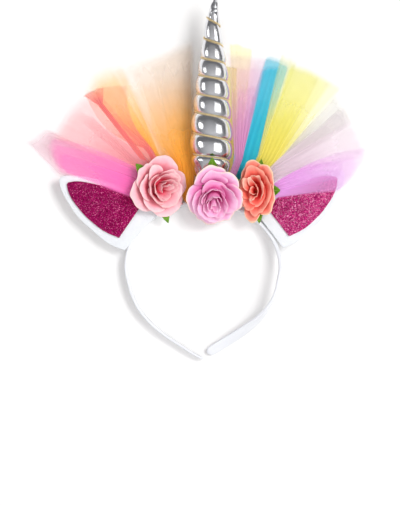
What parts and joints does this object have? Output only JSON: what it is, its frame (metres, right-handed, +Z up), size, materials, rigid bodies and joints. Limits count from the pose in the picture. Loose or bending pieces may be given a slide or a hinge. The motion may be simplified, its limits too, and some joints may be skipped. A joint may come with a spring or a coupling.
{
  "type": "unicorn horn headband",
  "caption": "Costume hair band with a padded silver horn, felt ears, paper roses and a rainbow fan of tulle, lying on its back edge.",
  "frame": {"origin": "middle of the whole box on the table that the headband lies on", "axes": "+Y from the band's tips towards the horn's tip, +Z up from the table towards the roses, +X to the side of the yellow and lilac tulle"},
  "size_m": [0.2804, 0.2926, 0.0439],
  "materials": {
    "white_satin": "white satin ribbon wrapped over a plastic band",
    "white_felt": "white craft felt",
    "magenta_glitter": "magenta glitter sheet",
    "silver_foil_cloth": "stuffed mirror-like silver foil cloth",
    "gold_cord": "twisted metallic gold cord",
    "leaf_green": "green paper",
    "petals_pale_pink": "pale pink mulberry paper",
    "heart_rose_red": "deeper pink paper",
    "petals_orchid": "orchid pink mulberry paper",
    "heart_orchid": "deeper orchid paper",
    "petals_coral": "coral mulberry paper",
    "heart_red": "deep red paper",
    "tulle_hot_pink": "sheer tulle net",
    "tulle_blush": "sheer tulle net",
    "tulle_rose": "sheer tulle net",
    "tulle_coral": "sheer tulle net",
    "tulle_peach": "sheer tulle net",
    "tulle_orange": "sheer tulle net",
    "tulle_ivory": "sheer tulle net",
    "tulle_lemon": "sheer tulle net",
    "tulle_mauve": "sheer tulle net",
    "tulle_blue": "sheer tulle net",
    "tulle_yellow": "sheer tulle net",
    "tulle_white": "sheer tulle net",
    "tulle_pale_lilac": "sheer tulle net",
    "tulle_lilac": "sheer tulle net"
  },
  "bodies": {
    "root": {"ear_felt_left": "white_felt", "ear_felt_right": "white_felt", "ear_glitter_left": "magenta_glitter", "ear_glitter_right": "magenta_glitter", "hair_band": "white_satin", "horn": "silver_foil_cloth", "horn_cord": "gold_cord", "leaves_left": "leaf_green", "leaves_middle": "leaf_green", "leaves_right": "leaf_green", "rose_left_bud": "heart_rose_red", "rose_left_inner_petals": "petals_pale_pink", "rose_left_middle_petals": "petals_pale_pink", "rose_left_outer_petals": "petals_pale_pink", "rose_middle_bud": "heart_orchid", "rose_middle_inner_petals": "petals_orchid", "rose_middle_middle_petals": "petals_orchid", "rose_middle_outer_petals": "petals_orchid", "rose_right_bud": "heart_red", "rose_right_inner_petals": "petals_coral", "rose_right_middle_petals": "petals_coral", "rose_right_outer_petals": "petals_coral", "tulle_blue": "tulle_blue", "tulle_blush": "tulle_blush", "tulle_coral": "tulle_coral", "tulle_hot_pink": "tulle_hot_pink", "tulle_ivory": "tulle_ivory", "tulle_lemon": "tulle_lemon", "tulle_lilac": "tulle_lilac", "tulle_mauve": "tulle_mauve", "tulle_orange": "tulle_orange", "tulle_pale_lilac": "tulle_pale_lilac", "tulle_peach": "tulle_peach", "tulle_rose": "tulle_rose", "tulle_white": "tulle_white", "tulle_yellow": "tulle_yellow"}
  },
  "joints": []
}
